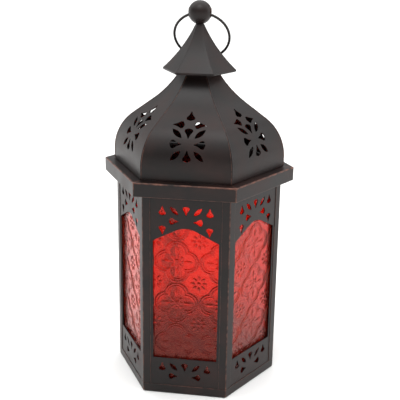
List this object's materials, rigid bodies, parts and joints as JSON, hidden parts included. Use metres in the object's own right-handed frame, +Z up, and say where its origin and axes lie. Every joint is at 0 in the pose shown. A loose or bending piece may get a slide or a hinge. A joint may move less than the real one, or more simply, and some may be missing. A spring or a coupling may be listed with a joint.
{
  "type": "candle lantern",
  "caption": "Six-sided hanging candle lantern in pierced dark iron with red pressed-glass panes, an ogee dome, a capped finial with a swinging ring, and a hinged rear door.",
  "frame": {"origin": "middle of the base's underside, on the surface the lantern stands on", "axes": "+Z up, front face along -Y, one corner on +X, door on the rear face at +Y"},
  "size_m": [0.151, 0.1308, 0.3008],
  "materials": {
    "painted_iron": "satin black-brown paint rubbed back to a coppery brown along edges",
    "dark_steel": "dark satin steel wire and rod",
    "red_glass": "red pressed glass, patterned on its outer face"
  },
  "bodies": {
    "lantern": {"base_pan": "painted_iron", "candle_cup": "painted_iron", "cap": "painted_iron", "crown_plate": "painted_iron", "eave": "painted_iron", "finial_ball": "painted_iron", "finial_nut": "dark_steel", "finial_spacer": "dark_steel", "finial_stud": "dark_steel", "glass_front": "red_glass", "glass_front_left": "red_glass", "glass_front_right": "red_glass", "glass_rear_left": "red_glass", "glass_rear_right": "red_glass", "gore_front": "painted_iron", "gore_front_left": "painted_iron", "gore_front_right": "painted_iron", "gore_rear": "painted_iron", "gore_rear_left": "painted_iron", "gore_rear_right": "painted_iron", "hinge_frame_leaf_lower": "painted_iron", "hinge_frame_leaf_upper": "painted_iron", "hinge_pin_lower": "painted_iron", "hinge_pin_upper": "painted_iron", "latch_rivet": "painted_iron", "panel_front": "painted_iron", "panel_front_left": "painted_iron", "panel_front_right": "painted_iron", "panel_rear_left": "painted_iron", "panel_rear_right": "painted_iron", "post_front_left": "painted_iron", "post_front_right": "painted_iron", "post_left": "painted_iron", "post_rear_left": "painted_iron", "post_rear_right": "painted_iron", "post_right": "painted_iron", "tie_ring": "painted_iron"},
    "door": {"door_panel": "painted_iron", "door_glass": "red_glass", "door_knob": "painted_iron", "hinge_door_leaf_lower": "painted_iron", "hinge_door_leaf_upper": "painted_iron"},
    "latch": {"latch_button": "painted_iron"},
    "ring": {"ring": "dark_steel"}
  },
  "joints": [
    {"name": "door_hinge", "type": "hinge", "parent": "lantern", "child": "door", "pos_m": [0.03392, 0.05876, 0.085], "axis": [0, 0, -1], "range_deg": [0, 180]},
    {"name": "latch_turn", "type": "hinge", "parent": "lantern", "child": "latch", "pos_m": [-0.0311, 0.05896, 0.098], "axis": [0, -1, 0], "continuous": true},
    {"name": "ring_swing", "type": "hinge", "parent": "lantern", "child": "ring", "pos_m": [0, 0, 0.29182], "axis": [1, 0, 0], "range_deg": [0, 298.6]}
  ]
}
